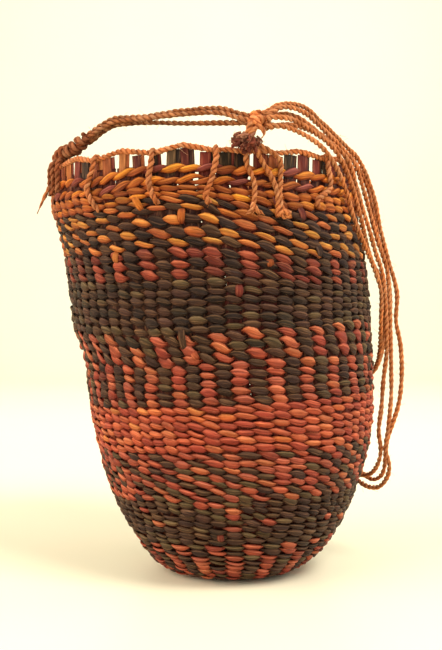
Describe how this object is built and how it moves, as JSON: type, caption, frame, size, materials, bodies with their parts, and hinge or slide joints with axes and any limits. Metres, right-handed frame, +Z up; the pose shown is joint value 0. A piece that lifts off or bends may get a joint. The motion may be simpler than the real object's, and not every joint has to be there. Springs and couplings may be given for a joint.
{
  "type": "twined dilly bag",
  "caption": "Tall round-bottomed twined bag of dyed leaf strips, with a string border sewn round its open mouth and a long string handle hanging down one side.",
  "frame": {"origin": "middle of the flat at the bottom that the bag stands on", "axes": "+Z up, +X towards the side that the handle hangs down, -Y towards the viewer"},
  "size_m": [0.2231, 0.1945, 0.2744],
  "materials": {
    "dyed_leaf": "dyed leaf strip, dry with a slight gloss",
    "bark_string": "rolled bark-fibre string, matt and a little hairy"
  },
  "bodies": {
    "root": {"bag_wall": "dyed_leaf", "border_string": "bark_string", "left_lashing": "bark_string", "front_knot": "bark_string", "handle_strand_1": "bark_string", "handle_strand_2": "bark_string", "handle_strand_3": "bark_string"}
  },
  "joints": []
}
